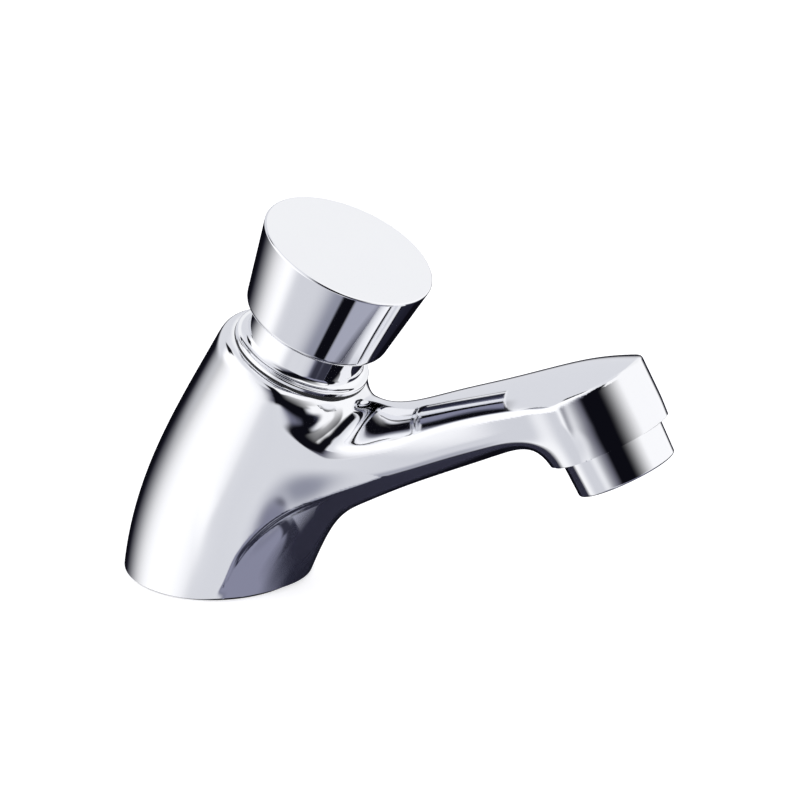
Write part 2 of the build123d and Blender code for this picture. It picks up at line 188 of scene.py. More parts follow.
# %% One card
way = node("ShaderNodeTexCoord").outputs["Generated"]
split = node("ShaderNodeSeparateXYZ")
tree.links.new(way, split.inputs[0])
azimuth = maths("ARCTAN2", split.outputs["Y"], split.outputs["X"])
elevation = maths("ARCSINE", split.outputs["Z"])


def card(under, colour, azimuths, elevations, soft):
    """Lays a soft patch of one colour, between two azimuths and two elevations, over a colour."""
    (a0, a1), (e0, e1) = np.radians(azimuths).tolist(), np.radians(elevations).tolist()
    soft_across, soft_up = np.radians(soft).tolist()
    middle, half = (a0 + a1) / 2, (a1 - a0) / 2
    gap = maths("ABSOLUTE", maths("WRAP", maths("SUBTRACT", azimuth, middle), math.pi, -math.pi))
    columns = fade(gap, max(half - soft_across / 2, 0), half + soft_across / 2)
    level, tall = (e0 + e1) / 2, (e1 - e0) / 2
    height = maths("ABSOLUTE", maths("SUBTRACT", elevation, level))
    rows = fade(height, max(tall - soft_up / 2, 0), tall + soft_up / 2)
    mix = node("ShaderNodeMix", data_type="RGBA")
    tree.links.new(maths("MULTIPLY", columns, rows), mix.inputs["Factor"])
    tree.links.new(under, mix.inputs["A"])
    mix.inputs["B"].default_value = (*colour, 1.0)
    return mix.outputs["Result"]


print("directions ready for the cards")

# %% Cards
BLACK = (0.004, 0.004, 0.007)
NIGHT = (0.035, 0.036, 0.055)
WHITE = (1.14, 1.14, 1.15)
SKY = (1.05, 1.05, 1.06)
DOME = (0.80, 0.81, 0.85)
CARDS = [
    # colour, azimuths, elevations and the softness of both, in degrees
    # the deck's side, the left and the far side
    ((0.030, 0.032, 0.055), (-60, 125), (-90, -13), (10, 10)),
    ((0.26, 0.265, 0.36), (-62, 30), (-53, -24), (24, 10)),
    ((0.74, 0.75, 0.79), (-116, -67), (-90, -10), (20, 16)),
    (WHITE, (-190, -106), (-60, 70), (44, 26)),
    ((0.69, 0.70, 0.745), (-150, -94), (-90, -25), (34, 8)),
    ((0.29, 0.30, 0.37), (-110, -56), (-90, -47), (34, 18)),
    ((0.14, 0.14, 0.18), (-93, -50), (-22, 30), (30, 10)),
    ((0.012, 0.012, 0.022), (60, 179), (-60, 4), (62, 10)),
    # the tall dark flag in front of the spout, and the bright sky beside it
    (BLACK, (-77, 0), (-3, 64), (12, 8)),
    (BLACK, (-77, -27), (-23, 3), (12, 6)),
    (SKY, (-19, 104), (-2, 70), (56, 8)),
    (SKY, (-38, 60), (28, 72), (12, 8)),
    (SKY, (-19, 84), (-14, 6), (12, 8)),
    ((0.97, 0.975, 0.985), (68, 112), (14, 56), (30, 20)),
    # small patches that draw the lines in the chrome
    (BLACK, (-40, -14), (-25, -17), (10, 4)),
    (NIGHT, (-200, 200), (-100, -72), (10, 12)),
    (NIGHT, (-60, -40), (-56, -47), (6, 4)),
    (NIGHT, (-44, -12), (-59, -51), (6, 4)),
    ((0.40, 0.41, 0.50), (-58, 14), (-90, -62), (5, 3)),
    (BLACK, (-84, -60), (-72, -57), (5, 3)),
    (BLACK, (86, 112), (-64, -22), (5, 6)),
    (BLACK, (112, 150), (-90, -6), (16, 6)),
    ((0.76, 0.77, 0.81), (112, 180), (-2, 50), (14, 10)),
    (BLACK, (166, 190), (36, 60), (8, 6)),
]
dome = node("ShaderNodeRGB")
dome.outputs[0].default_value = (*DOME, 1.0)
room = dome.outputs[0]
for colour, azimuths, elevations, soft in CARDS:
    room = card(room, colour, azimuths, elevations, soft)
print("studio cards:", len(CARDS))

# %% What the camera sees
paths = node("ShaderNodeLightPath")
seen = node("ShaderNodeMix", data_type="RGBA")
tree.links.new(paths.outputs["Is Camera Ray"], seen.inputs["Factor"])
tree.links.new(room, seen.inputs["A"])
seen.inputs["B"].default_value = (1.0, 1.0, 1.0, 1.0)
background = node("ShaderNodeBackground")
tree.links.new(seen.outputs["Result"], background.inputs["Color"])
tree.links.new(background.outputs[0], node("ShaderNodeOutputWorld").inputs["Surface"])
print("world nodes:", len(tree.nodes))

# %% [markdown]
# ## Floor
#
# A large pale plane at the level of the basin's deck. It hides the tail, as a deck does, and takes
# the tap's soft shadow. It gives off a little light towards the camera alone, so that it meets the
# white background without an edge, and the chrome doesn't see it.

# %% Floor
FLOOR_REACH, FLOOR_DROP = 3.0, 0.0002
FLOOR_COLOUR, FLOOR_GLOW = (0.8, 0.8, 0.82), 0.62


def plate(name, reach_x, reach_y, place):
    """A flat plate of four corners, half of each side given, about a place in metres."""
    mesh = bpy.data.meshes.new(name)
    corners = [(i * reach_x, j * reach_y, 0) for i, j in ((-1, -1), (1, -1), (1, 1), (-1, 1))]
    mesh.from_pydata(corners, [], [(0, 1, 2, 3)])
    made = bpy.data.objects.new(name, mesh)
    bpy.context.collection.objects.link(made)
    made.location = place
    return made


def bare_material(name):
    """A new material with no nodes, whose tree is then the one in hand."""
    global tree
    made = bpy.data.materials.new(name)
    made.use_nodes = True
    tree = made.node_tree
    tree.nodes.clear()
    return made


def matt_paint(colour):
    """A dull paint's output."""
    paint = node("ShaderNodeBsdfDiffuse")
    paint.inputs["Color"].default_value = (*colour, 1.0)
    return paint.outputs[0]


floor = plate("floor", FLOOR_REACH, FLOOR_REACH, (0, 0, -FLOOR_DROP))
floor.visible_glossy = False
floor.data.materials.append(bare_material("pale_floor"))
glow = node("ShaderNodeEmission")
by_camera = node("ShaderNodeLightPath").outputs["Is Camera Ray"]
tree.links.new(maths("MULTIPLY", by_camera, FLOOR_GLOW), glow.inputs["Strength"])
both = node("ShaderNodeAddShader")
tree.links.new(matt_paint(FLOOR_COLOUR), both.inputs[0])
tree.links.new(glow.outputs[0], both.inputs[1])
tree.links.new(both.outputs[0], node("ShaderNodeOutputMaterial").inputs["Surface"])
print("floor reaches", FLOOR_REACH, "m")

# %% [markdown]
# A small dark flag lies on the deck under the spout, and only reflections see it. It darkens the
# underside of the spout, as a basin does, and keeps the tail out of the mirror. A round gradient
# turns it clear towards its border, so that no edge of it shows in the chrome.

# %% Flag under the spout
FLAG_X, FLAG_REACH, FLAG_SIDE, FLAG_DROP = 0.058, 0.040, 0.030, 0.0001
FLAG_COLOUR, FLAG_STRENGTH = (0.05, 0.05, 0.08), 2.2
flag = plate("low_flag", FLAG_REACH, FLAG_SIDE, (FLAG_X, 0, -FLAG_DROP))
flag.visible_camera = flag.visible_diffuse = flag.visible_shadow = False
flag.data.materials.append(bare_material("black_flag"))
place = node("ShaderNodeMapping")
place.inputs["Scale"].default_value = (1 / FLAG_REACH, 1 / FLAG_SIDE, 1)
tree.links.new(node("ShaderNodeTexCoord").outputs["Object"], place.inputs["Vector"])
spot = node("ShaderNodeTexGradient", gradient_type="SPHERICAL")
tree.links.new(place.outputs["Vector"], spot.inputs["Vector"])
blend = node("ShaderNodeMixShader")
tree.links.new(maths("MULTIPLY", spot.outputs["Fac"], FLAG_STRENGTH), blend.inputs["Fac"])
tree.links.new(node("ShaderNodeBsdfTransparent").outputs[0], blend.inputs[1])
tree.links.new(matt_paint(FLAG_COLOUR), blend.inputs[2])
tree.links.new(blend.outputs[0], node("ShaderNodeOutputMaterial").inputs["Surface"])
print("flag round x", FLAG_X, "m")

# %% [markdown]
# ## Finishes
#
# One function makes every material from a few numbers: two near colours, how metallic and how rough
# it is, and fine noise that mixes the colours and changes the roughness and the height a little.
# Polished chrome keeps the noise tiny, turned brass has rings, and rubber is dull. The noise reads
# Object coordinates, so it stays on the piece when the piece moves.

# %% One finish


def finish(name, colour, second, metallic, roughness, vary, grain, bump=0.0, stretch=(1, 1, 1)):
    """A Principled material whose noise changes the colour, the roughness and, if asked, the height."""
    global tree
    made = bpy.data.materials.new(name)
    made.use_nodes = True
    tree = made.node_tree
    shader = tree.nodes["Principled BSDF"]
    shader.inputs["Base Color"].default_value = (*colour, 1.0)
    shader.inputs["Metallic"].default_value = metallic
    shader.inputs["Roughness"].default_value = roughness
    place = node("ShaderNodeMapping")
    place.inputs["Scale"].default_value = stretch
    tree.links.new(node("ShaderNodeTexCoord").outputs["Object"], place.inputs["Vector"])
    noise = node("ShaderNodeTexNoise")
    noise.inputs["Scale"].default_value = grain
    noise.inputs["Detail"].default_value = 3.0
    tree.links.new(place.outputs["Vector"], noise.inputs["Vector"])
    spread = node("ShaderNodeMapRange")
    tree.links.new(noise.outputs["Fac"], spread.inputs["Value"])
    spread.inputs["To Min"].default_value = roughness - vary
    spread.inputs["To Max"].default_value = roughness + vary
    tree.links.new(spread.outputs["Result"], shader.inputs["Roughness"])
    blend = node("ShaderNodeMix", data_type="RGBA")
    tree.links.new(noise.outputs["Fac"], blend.inputs["Factor"])
    blend.inputs["A"].default_value = (*colour, 1.0)
    blend.inputs["B"].default_value = (*second, 1.0)
    tree.links.new(blend.outputs["Result"], shader.inputs["Base Color"])
    if bump:
        lift = node("ShaderNodeBump")
        lift.inputs["Strength"].default_value = bump
        lift.inputs["Distance"].default_value = 0.1 * MM
        tree.links.new(noise.outputs["Fac"], lift.inputs["Height"])
        tree.links.new(lift.outputs["Normal"], shader.inputs["Normal"])
    return made


print("materials before the finishes:", len(bpy.data.materials))

# %% Finishes
POLISHED = (0.905, 0.91, 0.93), (0.89, 0.895, 0.92)
FINISHES = {name: finish(name, *values) for name, values in {
    "chrome_body": ((0.90, 0.905, 0.925), (0.885, 0.89, 0.915), 1.0, 0.045, 0.015, 60.0),
    "chrome_button": (*POLISHED, 1.0, 0.035, 0.01, 80.0),
    "chrome_collar": (*POLISHED, 1.0, 0.03, 0.01, 80.0),
    "chrome_outlet": (*POLISHED, 1.0, 0.035, 0.01, 80.0),
    "brass": ((0.78, 0.57, 0.26), (0.70, 0.50, 0.22), 1.0, 0.24, 0.06, 900.0, 0.3, (0.15, 0.15, 1.0)),
    "steel": ((0.60, 0.60, 0.61), (0.54, 0.54, 0.56), 1.0, 0.26, 0.06, 900.0, 0.2, (0.3, 0.3, 1.0)),
    "rubber": ((0.022, 0.022, 0.024), (0.035, 0.035, 0.037), 0.0, 0.62, 0.08, 700.0, 0.35),
    "white_plastic": ((0.82, 0.82, 0.79), (0.78, 0.78, 0.75), 0.0, 0.38, 0.05, 500.0, 0.1),
    "grey_plastic": ((0.22, 0.23, 0.24), (0.26, 0.27, 0.28), 0.0, 0.42, 0.05, 500.0, 0.1),
}.items()}
print("finishes:", ", ".join(FINISHES))

# %% Finishes on the solids
for part in frame["record"]["subparts"]:
    mesh = nodes[part["node"]].data
    mesh.materials.clear()
    mesh.materials.append(FINISHES[part["material_slot"]])
slot_of = {part["node"]: part["material_slot"] for part in frame["record"]["subparts"]}
body_of = {name: body for body, names in frame["record"]["behaviour"]["bodies"].items() for name in names}
print("solids with a finish:", len(slot_of), "on the bodies", ", ".join(sorted(set(body_of.values()))))

# %% [markdown]
# ## The lathe
#
# A turned piece is an outline of (radius, height, rounding) corners swept round an axis. Every
# corner gets a small arc, because real edges are never sharp and the arc catches the light. The
# normals are worked out from the outline rather than averaged from the faces: on polished metal an
# averaged normal would show as a false gradient. The outline runs with the solid on its left.

# %% Rounded outline


def rounded(corners, closed):
    """Points and outward normals of an outline with its corners rounded."""
    count = len(corners)
    points, normals = [], []
    for i, (radius, height, wanted) in enumerate(corners):
        here = np.array([radius, height])
        if not closed and i in (0, count - 1):
            other = np.array(corners[1][:2] if i == 0 else corners[-2][:2])
            run = (other - here) if i == 0 else (here - other)
            run = run / np.linalg.norm(run)
            points.append(here)
            normals.append([run[1], -run[0]])
            continue
        before, after = (np.array(corners[(i + k) % count][:2]) for k in (-1, 1))
        come, go = here - before, after - here
        come, go = come / np.linalg.norm(come), go / np.linalg.norm(go)
        bend = math.atan2(come[0] * go[1] - come[1] * go[0], come @ go)
        if abs(bend) < 1e-6:
            continue
        back = wanted * math.tan(abs(bend) / 2)
        steps = max(2, int(abs(bend) / math.radians(12)) + 1)
        side = np.array([-come[1], come[0]]) * (1 if bend > 0 else -1)
        centre = here - come * back + side * wanted
        for k in range(steps + 1):
            turned = bend * k / steps
            c, s = math.cos(turned), math.sin(turned)
            spoke = -side * wanted
            points.append(centre + np.array([spoke[0] * c - spoke[1] * s, spoke[0] * s + spoke[1] * c]))
            run = np.array([come[0] * c - come[1] * s, come[0] * s + come[1] * c])
            normals.append([run[1], -run[0]])
    return np.array(points), np.array(normals)


sample, _ = rounded([(0, 0, 0), (5, 0, 1), (5, 5, 0)], closed=False)
print("a rounded corner has", len(sample) - 2, "points")

# %% Lathe


def mesh_object(name, points, faces, normals=None):
    """A mesh object at the origin from points in millimetres, smooth, with its normals if given."""
    mesh = bpy.data.meshes.new(name)
    faces = faces if isinstance(faces, list) else faces.tolist()
    mesh.from_pydata((np.asarray(points) * MM).tolist(), [], faces)
    mesh.validate()
    mesh.polygons.foreach_set("use_smooth", np.ones(len(mesh.polygons), bool))
    if normals is not None:
        mesh.normals_split_custom_set_from_vertices(np.asarray(normals).tolist())
    made = bpy.data.objects.new(name, mesh)
    bpy.context.collection.objects.link(made)
    return made


def turned(name, about, corners, closed=False, segments=160):
    """A solid of revolution about an axis. An open outline starts and ends on the axis."""
    origin, ahead, across, up = about
    outline, facing = rounded(corners, closed)
    angles = np.linspace(0, 2 * math.pi, segments, endpoint=False)
    spokes = np.cos(angles)[:, None] * ahead + np.sin(angles)[:, None] * across
    points, normals, rings = [], [], []
    for (radius, height), (out, lift) in zip(outline, facing):
        if radius < 1e-9:
            rings.append([len(points)] * segments)
            points.append(origin + height * up)
            normals.append(up * (1 if lift > 0 else -1))
        else:
            rings.append(list(range(len(points), len(points) + segments)))
            points.extend(origin + radius * spokes + height * up)
            normals.extend(out * spokes + lift * up)
    faces = []
    pairs = list(zip(rings, rings[1:])) + ([(rings[-1], rings[0])] if closed else [])
    for low, high in pairs:
        for a in range(segments):
            b = (a + 1) % segments
            corner = [low[a], low[b], high[b], high[a]]
            faces.append(list(dict.fromkeys(corner)))
    return mesh_object(name, points, faces, normals)


print("outlet axis points along", outlet_axis[3].round(3))

# %% [markdown]
# A finished piece takes the place of the solid that it dresses. It then moves with that solid's body
# and has its material slot.

# %% Standing for a solid


def stand_for(piece, *names):
    """The piece takes the place of CAD nodes: their body, their slot and their finish."""
    piece.data.materials.clear()
    piece.data.materials.append(FINISHES[slot_of[names[0]]])
    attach(piece, body_of[names[0]])
    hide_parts(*names)
    print(piece.name, "stands for", ", ".join(names), "with", len(piece.data.polygons), "faces")


print("body: finish", slot_of["body"], "and push_button: rides", body_of["push_button"])

# %% [markdown]
# ## Push button
#
# The cap widens upwards from 38 to 46 mm, with a crisp edge round its flat top and a soft foot. The
# inside is hollow for the collar, with a seat for the spring and a boss for the spindle. One open
# outline makes it all, from the axis in the boss, round the inside, up the outside and back over the
# top.

# %% Push button
TOP_R, FOOT_R, CAP_H, GAP = 22.9, 19.1, 23.5, 9.8
WALL, ROOF = 2.8, 2.6
SEAT_R, SEAT_DROP = 9.5, 5.5
BOSS_R, BOSS_H, HOLE_R, HOLE_DEPTH = 5.5, 8.0, 2.55, 9.0
button_foot = RIM_S + GAP
roof = CAP_H - ROOF
slope = (TOP_R - FOOT_R) / CAP_H
seat = roof - SEAT_DROP
boss = seat - BOSS_H
button = turned("button_cap", button_axis(button_foot), [
    (0, boss + HOLE_DEPTH, 0), (HOLE_R, boss + HOLE_DEPTH, 0.1), (HOLE_R, boss, 0.2), (BOSS_R, boss, 0.3),
    (BOSS_R, seat, 0.5), (SEAT_R, seat, 0.3), (SEAT_R, roof, 0.5), (FOOT_R - WALL + slope * roof, roof, 0.8),
    (FOOT_R - WALL, 0, 0.3), (FOOT_R, 0, 2.4), (TOP_R, CAP_H, 0.6), (0, CAP_H, 0),
], segments=240)
stand_for(button, "push_button")

# %% [markdown]
# ## Collar
#
# A bright sleeve under the button, with a thin round flange at its foot that spreads the light in a
# narrow line where it meets the body. The concave flare between them is a corner with a big arc.

# %% Collar
SLEEVE_R, SLEEVE_BORE, SLEEVE_H = 15.7, 14.2, 12.2
FLANGE_R, FLANGE_FOOT, FLANGE_H, FLARE = 18.3, 0.02, 1.2, 1.95
SPIGOT_R, SPIGOT_BORE, SPIGOT_DEPTH = 13.95, 12.7, 2.5
collar = turned("collar_sleeve", button_axis(RIM_S), [
    (SPIGOT_BORE, -SPIGOT_DEPTH, 0.2), (SPIGOT_R, -SPIGOT_DEPTH, 0.3), (SPIGOT_R, FLANGE_FOOT, 0.02),
    (FLANGE_R, FLANGE_FOOT, 0.12), (FLANGE_R, FLANGE_H, 0.5), (SLEEVE_R, FLANGE_H + 0.1, FLARE),
    (SLEEVE_R, SLEEVE_H, 0.3), (SLEEVE_BORE, SLEEVE_H, 0.3), (SLEEVE_BORE, 0, 0.3),
], closed=True, segments=200)
stand_for(collar, "collar")

# %% [markdown]
# ## Outlet ring
#
# The ring screws into the spout's head and holds the flow straightener. It is nearly a cylinder,
# with a small round at the mouth and a thin lip that folds in.

# %% Outlet ring
RING_R, MOUTH_R, RING_TOP, MOUTH = 13.3, 13.0, -0.25, -9.45
SCREW_R, SCREW_TOP, RING_BORE = 12.0, 7.0, 10.6
LIP_BORE, LIP_TOP = 9.4, -8.05
outlet = turned("outlet_ring", outlet_axis, [
    (RING_BORE, SCREW_TOP, 0.2), (RING_BORE, LIP_TOP, 0.3), (LIP_BORE, LIP_TOP, 0.2), (LIP_BORE, MOUTH, 0.3),
    (MOUTH_R, MOUTH, 0.6), (RING_R, RING_TOP, 0.15), (SCREW_R, RING_TOP, 0.1), (SCREW_R, SCREW_TOP, 0.4),
], closed=True, segments=200)
stand_for(outlet, "aerator_housing")

# %% [markdown]
# ## The cast body
#
# The body is one flowing casting: a leaning barrel, flanks that run on into the spout, a crowned
# top with a saddle behind it, an inset front under the spout and a round head. Boxes and booleans
# can't give those soft flows, and a hand-modelled cage would be guesswork. So the shape is written
# as a distance-like field: each simple form is a function that is negative inside it. `join` unites
# two forms with a smooth fill, `trim` keeps what two share and rounds the edge between them.

# %% Field tools


def smooth_line(points):
    """Natural cubic through (at, value) points, straight beyond its ends."""
    x, y = np.array(points, float).T
    n = len(x)
    h = np.diff(x)
    rate = np.diff(y) / h
    rows, wanted = np.eye(n), np.zeros(n)
    for i in range(1, n - 1):
        rows[i, i - 1:i + 2] = h[i - 1], 2 * (h[i - 1] + h[i]), h[i]
        wanted[i] = 6 * (rate[i] - rate[i - 1])
    bend = np.linalg.solve(rows, wanted)
    first = rate[0] - h[0] * (2 * bend[0] + bend[1]) / 6
    last = rate[-1] + h[-1] * (2 * bend[-1] + bend[-2]) / 6

    def at(q):
        i = np.clip(np.searchsorted(x, q) - 1, 0, n - 2)
        c = np.clip(q, x[0], x[-1])
        a, b = x[i + 1] - c, c - x[i]
        curve = (bend[i] * a ** 3 + bend[i + 1] * b ** 3) / (6 * h[i])
        curve += (y[i] / h[i] - bend[i] * h[i] / 6) * a + (y[i + 1] / h[i] - bend[i + 1] * h[i] / 6) * b
        return curve + np.minimum(q - x[0], 0) * first + np.maximum(q - x[-1], 0) * last

    return at


def join(a, b, k):
    """Union of two forms, filled where they meet."""
    h = np.maximum(k - np.abs(a - b), 0.0) / k
    return np.minimum(a, b) - h ** 3 * (k / 6)


def trim(a, b, k):
    """What two forms share, with the edge between them rounded."""
    h = np.maximum(k - np.abs(a - b), 0.0) / k
    return np.maximum(a, b) + h ** 3 * (k / 6)


print("join fills", float(-join(np.array(0.0), np.array(0.0), 6.0)), "mm where two faces cross with k = 6")

# %% [markdown]
# ### The barrel
#
# Four ellipses stand on a curved spine from the base to the rim. For a point in space, a few steps
# of Newton's method find the ellipse whose plane goes through it. The spine and the ellipses run on
# a little past both ends, because the base and the rim are cut later.

# %% Barrel
BASE_R, NECK_R, HEAD_R = 25.0, 21.3, 15.9
RIM_X, _, RIM_Z = button_axis(RIM_S)[0]
BEYOND, NEWTON_STEPS = 0.15, 5
share = np.array([0.0, 0.2425, 0.575, 1.0])
spine_x = np.polyfit(share, [0.0, 4.8, 13.2, RIM_X], 3)
spine_z = np.polyfit(share, [0.0, 15.6, 37.0, RIM_Z], 3)
spine_turn = np.polyfit(share, [0.0, math.radians(10), math.radians(18), LEAN], 3)
radius_along = np.polyfit(share, [BASE_R, 25.5, 23.8, NECK_R], 3)
radius_across = np.polyfit(share, [BASE_R, 24.0, 22.6, NECK_R], 3)


def barrel(x, y, z):
    """Negative inside the leaning barrel."""
    u = np.clip((x * RIM_X + z * RIM_Z) / (RIM_X ** 2 + RIM_Z ** 2), -BEYOND, 1 + BEYOND)
    for _ in range(NEWTON_STEPS):
        s, c = np.sin(np.polyval(spine_turn, u)), np.cos(np.polyval(spine_turn, u))
        dx, dz = x - np.polyval(spine_x, u), z - np.polyval(spine_z, u)
        off = dx * s + dz * c
        rate = (dx * c - dz * s) * np.polyval(np.polyder(spine_turn), u)
        rate -= np.polyval(np.polyder(spine_x), u) * s + np.polyval(np.polyder(spine_z), u) * c
        u = np.clip(u - off / rate, -BEYOND, 1 + BEYOND)
    turn_here = np.polyval(spine_turn, u)
    e = (x - np.polyval(spine_x, u)) * np.cos(turn_here) - (z - np.polyval(spine_z, u)) * np.sin(turn_here)
    a, b = np.polyval(radius_along, u), np.polyval(radius_across, u)
    return (np.sqrt((e / a) ** 2 + (y / b) ** 2) - 1) * np.sqrt(a * b)


rim_side = barrel(np.array(RIM_X), np.array(NECK_R), np.array(RIM_Z))
print("barrel at the rim's side:", round(float(rim_side), 3), "mm")

# %% [markdown]
# ### The lines of the spout
#
# Seen from the side, t runs along the spout and q across it. The ridge and the keel are its top and
# bottom lines, the crown says how much the top bends sideways, and the low edge is where the flank
# turns under. Two lines give the half width of the flanks, low and high. The skirt's foot shapes the
# saddle behind the spout, and the front crease is the edge of the inset under it.

# %% Lines of the spout
ridge = smooth_line([(50, 27.6), (64, 27.0), (76, 26.2), (90, 25.6), (104, 24.75), (116, 24.2), (126, 23.3),
                     (140, 20.0)])
crown = smooth_line([(48, -0.02), (51.5, -0.01), (54, 0.002), (55.8, 0.0114), (57.3, 0.0163), (61.8, 0.0262),
                     (66, 0.0325), (72, 0.0385), (80, 0.0385), (91, 0.0362), (101, 0.035), (116, 0.029),
                     (126, 0.019), (140, 0.016)])
skirt_foot = smooth_line([(-5, 34), (2, 26), (7.5, 20.7), (10.5, 19.6), (13.2, 19.1), (15.4, 18.7),
                          (22, 18.7)])
low_width = smooth_line([(5, 23.4), (10.4, 22.3), (15.7, 20.7), (21.7, 18.5), (28.7, 16), (39, 13.7),
                         (48, 12.9), (56, 12.6), (65, 12.4), (76, 12.15), (90, 12), (104, 12.4), (116, 14),
                         (125, 15.6), (140, 17.5)])
high_width = smooth_line([(5, 24), (28.7, 19.5), (39, 17.9), (48, 17.2), (56, 16), (65, 14.5), (76, 13.1),
                          (90, 12.4), (104, 12.7), (116, 14.2), (125, 15.7), (140, 17.5)])
keel = smooth_line([(0, -30), (10.4, -22), (21.7, -12), (34, -1.2), (44, 3.4), (53, 4.8), (65, 5.9),
                    (76, 6.5), (90, 7), (100, 7.4), (125, 8)])
low_edge = smooth_line([(0, -12), (10.4, -4.9), (15.7, -1.2), (21.7, 4), (28.7, 7.9), (39, 10.5), (48, 11.1),
                        (56, 11.5), (65, 11.8), (76, 11.9), (90, 12), (104, 11.8), (125, 11.8)])
front_crease = smooth_line([(-6, 7), (0, 11.5), (5.1, 14.95), (12.8, 18.4), (19.2, 23), (26, 30.9), (31, 40)])
print("spout is", round(2 * float(low_width(np.array(90.0))), 1), "mm wide in the middle")

# %% [markdown]
# ### All forms together
#
# From the sides, the body is the barrel, the two flanks and the round head, joined. From above, a
# crest takes away what stands over the ridge, with a cone-like skirt as its saddle. From below, an
# underside does the same, with a cone at the base and the crease of the inset. Rim, base and seam
# come last. A form that holds in one part of the body only is switched off elsewhere: FAR stands in
# for it there.

# %% Parts of the field
FAR = 50
FLANK_LEVEL, FLANK_SPREAD = 17, 6
SWELL, SWELL_LEVEL = 0.3, 16
FLANKS_FRONT, FLANKS_BACK = 124, 5
SKIRT_SLOPE, CONE_LEAN, CONE_SLOPE = 0.445, 0.95, 0.475
HEAD_FILL, UNDER_FILL, CONE_FILL, CREASE_FILL = 3, 14, 7, 1.5
LIP_REACH, RIM_REACH, RIM_GAP, RIM_ROUND = 20.5, 32, 0.25, 6
SPARE = 0.8


def ease(value, low, high):
    """0 below low, 1 above high, smooth between."""
    share = np.clip((value - low) / (high - low), 0, 1)
    return share * share * (3 - 2 * share)


def flanks(y, t, q, forward):
    """Negative between the two sides of body and spout, whose width goes from a low line to a high one."""
    raised = 0.5 + 0.5 * np.tanh((q - FLANK_LEVEL) / FLANK_SPREAD)
    width = low_width(t) + (high_width(t) - low_width(t)) * raised
    width = width + SWELL * (1 - ease(t, 84, 104)) * np.exp(-((q - SWELL_LEVEL) / FLANK_SPREAD) ** 2)
    both = trim(np.sqrt(y * y + 0.01) - width, t - FLANKS_FRONT, 2)
    return trim(both, FLANKS_BACK - forward, 5)


def crest_over(y, t, q, forward, drop):
    """Negative under the crowned top and under the skirt of the saddle."""
    skirt = (np.sqrt(forward * forward + y * y) - SKIRT_SLOPE * drop - skirt_foot(forward)) * 0.91
    return join(skirt, q - ridge(t) + crown(t) * y * y, 6 + 16 * np.exp(-(y / 11) ** 2))


def underside(x, y, z, t, q, head):
    """Negative over the spout's keel, in the cone of the base, in the head and behind the crease."""
    bowl = (low_edge(t) - keel(t)) / low_width(t) ** 2
    cone = (np.sqrt((x - CONE_LEAN * z) ** 2 + y * y) - (BASE_R - CONE_SLOPE * z)) * 0.9
    under = join(join(keel(t) + bowl * y * y - q, cone, CONE_FILL), head, UNDER_FILL)
    return join(under, np.where(z < 40, x - front_crease(z), FAR), CREASE_FILL)


print("half way, ease gives", float(ease(np.array(0.5), 0, 1)))

# %% The whole field


def body_field(points):
    """Negative inside the body, in millimetres."""
    x, y, z = points[..., 0], points[..., 1], points[..., 2]
    t = x * math.cos(RISE) + z * math.sin(RISE)
    q = z * math.cos(RISE) - x * math.sin(RISE)
    forward = x * math.cos(LEAN) - (z - AXIS_FOOT) * math.sin(LEAN)
    drop = RIM_S - x * math.sin(LEAN) - (z - AXIS_FOOT) * math.cos(LEAN)
    dx, dz = x - SEAM_X, z - SEAM_Z
    above_seam = dz * math.cos(TILT) - dx * math.sin(TILT)
    reach = dx * math.cos(TILT) + dz * math.sin(TILT)
    head = np.sqrt(reach * reach + y * y) - HEAD_R
    side = join(barrel(x, y, z), flanks(y, t, q, forward), 1.5 + 7.5 * ease(t, 6, 26))
    side = join(side, head, HEAD_FILL)
    whole = trim(side, crest_over(y, t, q, forward, drop), 1.2 + 3.3 * (1 - ease(t, 50, 72)))
    whole = trim(whole, underside(x, y, z, t, q, head), 2.5 + 0.7 * ease(t, 70, 96))
    lip = forward - LIP_REACH
    rim = RIM_GAP - drop - 0.6 * (lip + np.sqrt(lip * lip + 1))
    whole = trim(whole, np.where(forward < RIM_REACH, rim, -FAR), RIM_ROUND)
    whole = trim(whole, -z - SPARE, 0.6)
    return trim(whole, np.where(t > 95, -above_seam - SPARE, -FAR), 0.5)


def slope_of(points, step=1e-3):
    """Gradient of the field, by central differences."""
    found = np.zeros_like(points)
    for k in range(3):
        move = np.zeros(3)
        move[k] = step
        found[..., k] = (body_field(points + move) - body_field(points - move)) / (2 * step)
    return found


def facing_of(points):
    """The field's outward direction, one long."""
    slope = slope_of(points)
    return slope / np.linalg.norm(slope, axis=-1, keepdims=True)


print("field at the base's edge:", round(float(body_field(np.array([-BASE_R, 0.0, 5.0]))), 2))

# %% [markdown]
# ### From field to mesh
#
# Surface nets put one vertex in each small cube that the surface passes through, and one quad
# across each cube edge that it crosses. A few rounds of evening out and sliding back onto the
# surface give even quads. Later, the normals come straight from the field's slope.

# %% Surface nets
NET_STEP = 0.6
LOWEST, HIGHEST = np.array([-27.0, -27.5, -1.5]), np.array([130.0, 27.5, 79.0])


